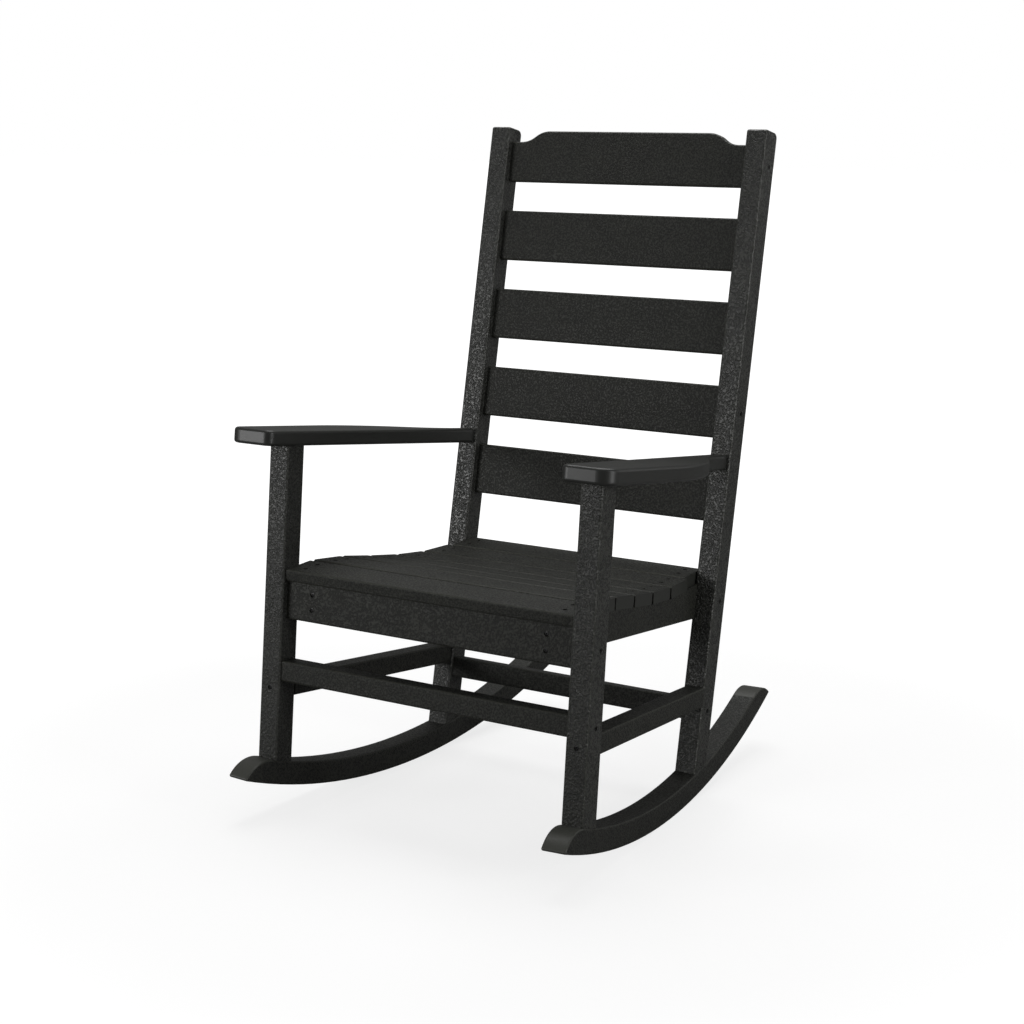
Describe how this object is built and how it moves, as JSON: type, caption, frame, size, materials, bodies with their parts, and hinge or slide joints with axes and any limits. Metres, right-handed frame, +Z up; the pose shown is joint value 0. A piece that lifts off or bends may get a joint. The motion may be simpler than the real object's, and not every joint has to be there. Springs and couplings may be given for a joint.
{
  "type": "rocking chair",
  "caption": "Slat-back rocking chair of extruded plastic boards with flat arms, a scooped slatted seat and two curved rockers.",
  "frame": {"origin": "on the floor, on the plane of symmetry, midway between the rockers' front and back ends", "axes": "+Z up, the sitter faces -Y, +X is at the right of a viewer who faces the seat's front"},
  "size_m": [0.7, 0.847, 1.1006],
  "materials": {
    "plastic_board": "extruded board with a fine pebbled skin, machined smooth on cut ends and arms",
    "screw_steel": "black coated stainless steel"
  },
  "bodies": {
    "root": {"apron_block_left": "plastic_board", "apron_block_right": "plastic_board", "apron_end_screws": "screw_steel", "apron_screws": "screw_steel", "arm_left": "plastic_board", "arm_right": "plastic_board", "arm_screws": "screw_steel", "arm_studs": "screw_steel", "back_post_left": "plastic_board", "back_post_right": "plastic_board", "back_slat_1": "plastic_board", "back_slat_2": "plastic_board", "back_slat_3": "plastic_board", "back_slat_4": "plastic_board", "back_slat_5": "plastic_board", "back_slat_screws": "screw_steel", "block_screws": "screw_steel", "front_apron": "plastic_board", "front_leg_left": "plastic_board", "front_leg_right": "plastic_board", "front_stretcher": "plastic_board", "front_stretcher_screws": "screw_steel", "rear_stretcher": "plastic_board", "rear_stretcher_screws": "screw_steel", "rocker_left": "plastic_board", "rocker_right": "plastic_board", "rocker_screws": "screw_steel", "seat_rail_left": "plastic_board", "seat_rail_right": "plastic_board", "seat_rail_screws": "screw_steel", "seat_screws": "screw_steel", "seat_slat_1": "plastic_board", "seat_slat_2": "plastic_board", "seat_slat_3": "plastic_board", "seat_slat_4": "plastic_board", "seat_slat_5": "plastic_board", "seat_slat_6": "plastic_board", "seat_slat_7": "plastic_board", "side_stretcher_left": "plastic_board", "side_stretcher_right": "plastic_board", "side_stretcher_screws": "screw_steel"}
  },
  "joints": []
}
